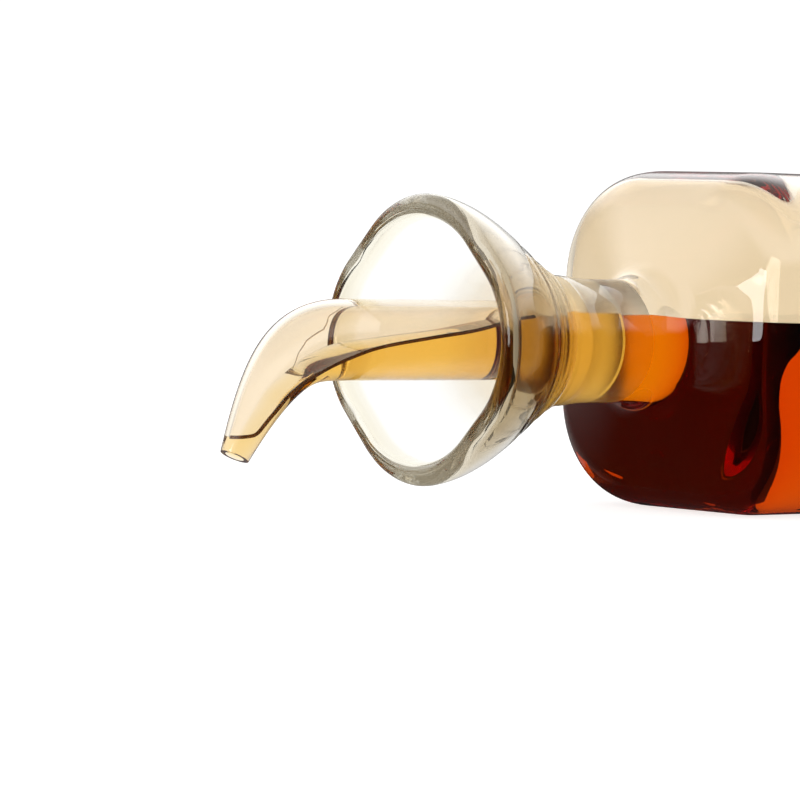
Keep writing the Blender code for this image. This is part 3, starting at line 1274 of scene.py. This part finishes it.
@dataclass(frozen=True)
class Card:
    """A flat card or soft box outside the picture, which only glass and sauce see.

    It stands across one axis at a place along it, and its outline's pairs run along the other two.
    """

    name: str
    across: Axis
    place: float
    outline: Profile
    glow: float = 0.0
    shade: float = 0.02
    mirrored: bool = True

    def corner(self, pair: Span) -> tuple:
        """One of its outline's pairs as a point."""
        return (*pair[: self.across.value], self.place, *pair[self.across.value :])

    def build(self) -> None:
        """Hang the card."""
        bm = bmesh.new()
        fill(bm, [self.corner(pair) for pair in self.outline])
        card = add_flat(self.name, bm, matte_look(self.name, self.shade, self.glow))
        card.visible_camera = False
        card.visible_diffuse = False
        card.visible_shadow = False
        card.visible_glossy = self.mirrored


def rectangle(left: float, right: float, low: float, high: float) -> Profile:
    """A rectangle's outline."""
    return [(left, low), (right, low), (right, high), (left, high)]


@dataclass
class Studio:
    """The camera, the floor, the surround and the cards."""

    view: View = View()
    sauce_top: float = 0.0388
    shade_top: float = 0.0500
    past_base: float = 0.0515
    past_side: float = 0.0354
    under: float = -0.0004
    window_x: float = -0.40
    window_glow: float = 7.5
    base_glow: float = 0.05
    bounces: int = 64
    mirror_bounces: int = 48

    def base_outline(self) -> Profile:
        """The base's shade, as high as the sauce at the far side and higher elsewhere."""
        low, high = self.sauce_top, self.shade_top
        return [(-0.045, 0.0), (0.045, 0.0), (0.045, low), (0.022, low), (0.022, high), (-0.045, high)]

    def side_outline(self) -> Profile:
        """The far side's shade, near the base, with a slanting left edge."""
        end, top = self.past_base, self.sauce_top
        left = [(0.0245, top), (0.0245, 0.0360), (0.0290, 0.0260), (0.0330, 0.0030)]
        return [(0.0332, 0.0), (end, 0.0), (end, top), *left]

    @staticmethod
    def window_outline() -> Profile:
        """The window, with the jagged lower edge that its reflection shows."""
        edge = [(0.0300, 0.0310), (0.0040, 0.0300), (-0.0015, 0.0290), (-0.0030, 0.0245)]
        edge += [(-0.0062, 0.0252), (-0.0066, 0.0280), (-0.0086, 0.0275), (-0.0100, 0.0250)]
        return [*edge, (-0.0160, 0.0290), (-0.0700, 0.0300), (-0.0700, 0.1200), (0.0300, 0.1200)]

    def cards(self) -> list[Card]:
        """The shades behind the sauce, which stand for the dark surroundings, and the window."""
        foot = rectangle(-0.030, 0.0200, self.under, 0.0140)
        front = rectangle(-0.010, self.past_base, 0.0, self.shade_top)
        floor = rectangle(-0.036, 0.060, -0.048, 0.048)
        return [
            Card("base_shade", Axis.X, self.past_base, self.base_outline(), self.base_glow),
            Card("side_shade", Axis.Y, self.past_side, self.side_outline()),
            Card("foot_shade", Axis.Y, self.past_side, foot),
            Card("front_shade", Axis.Y, -self.past_side, front, mirrored=False),
            Card("floor_shade", Axis.Z, self.under, floor),
            Card("window", Axis.X, self.window_x, self.window_outline(), self.window_glow),
        ]

    def build(self) -> None:
        """Set up the whole studio."""
        self.view.build()
        Floor().build()
        back = self.view.away()
        Surround(Vector((-back.x, -back.y, 0.0)).normalized()).build()
        for card in self.cards():
            card.build()
        scene = bpy.context.scene
        scene.view_settings.view_transform = "Standard"
        scene.cycles.max_bounces = self.bounces
        scene.cycles.transmission_bounces = self.bounces
        scene.cycles.glossy_bounces = self.mirror_bounces


def main() -> None:
    """Build the cruet's looks on its frame, and the studio round it."""
    logging.basicConfig(level=logging.INFO, format="%(message)s")
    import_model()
    Studio().build()
    bottle = Bottle()
    spout = Spout(bottle)
    sauce = Sauce(bottle, spout)
    line = sauce.line()
    bottle.build(line)
    spout.build(line)
    Marks(bottle, spout).build(sauce.build())


if __name__ == "__main__":
    main()
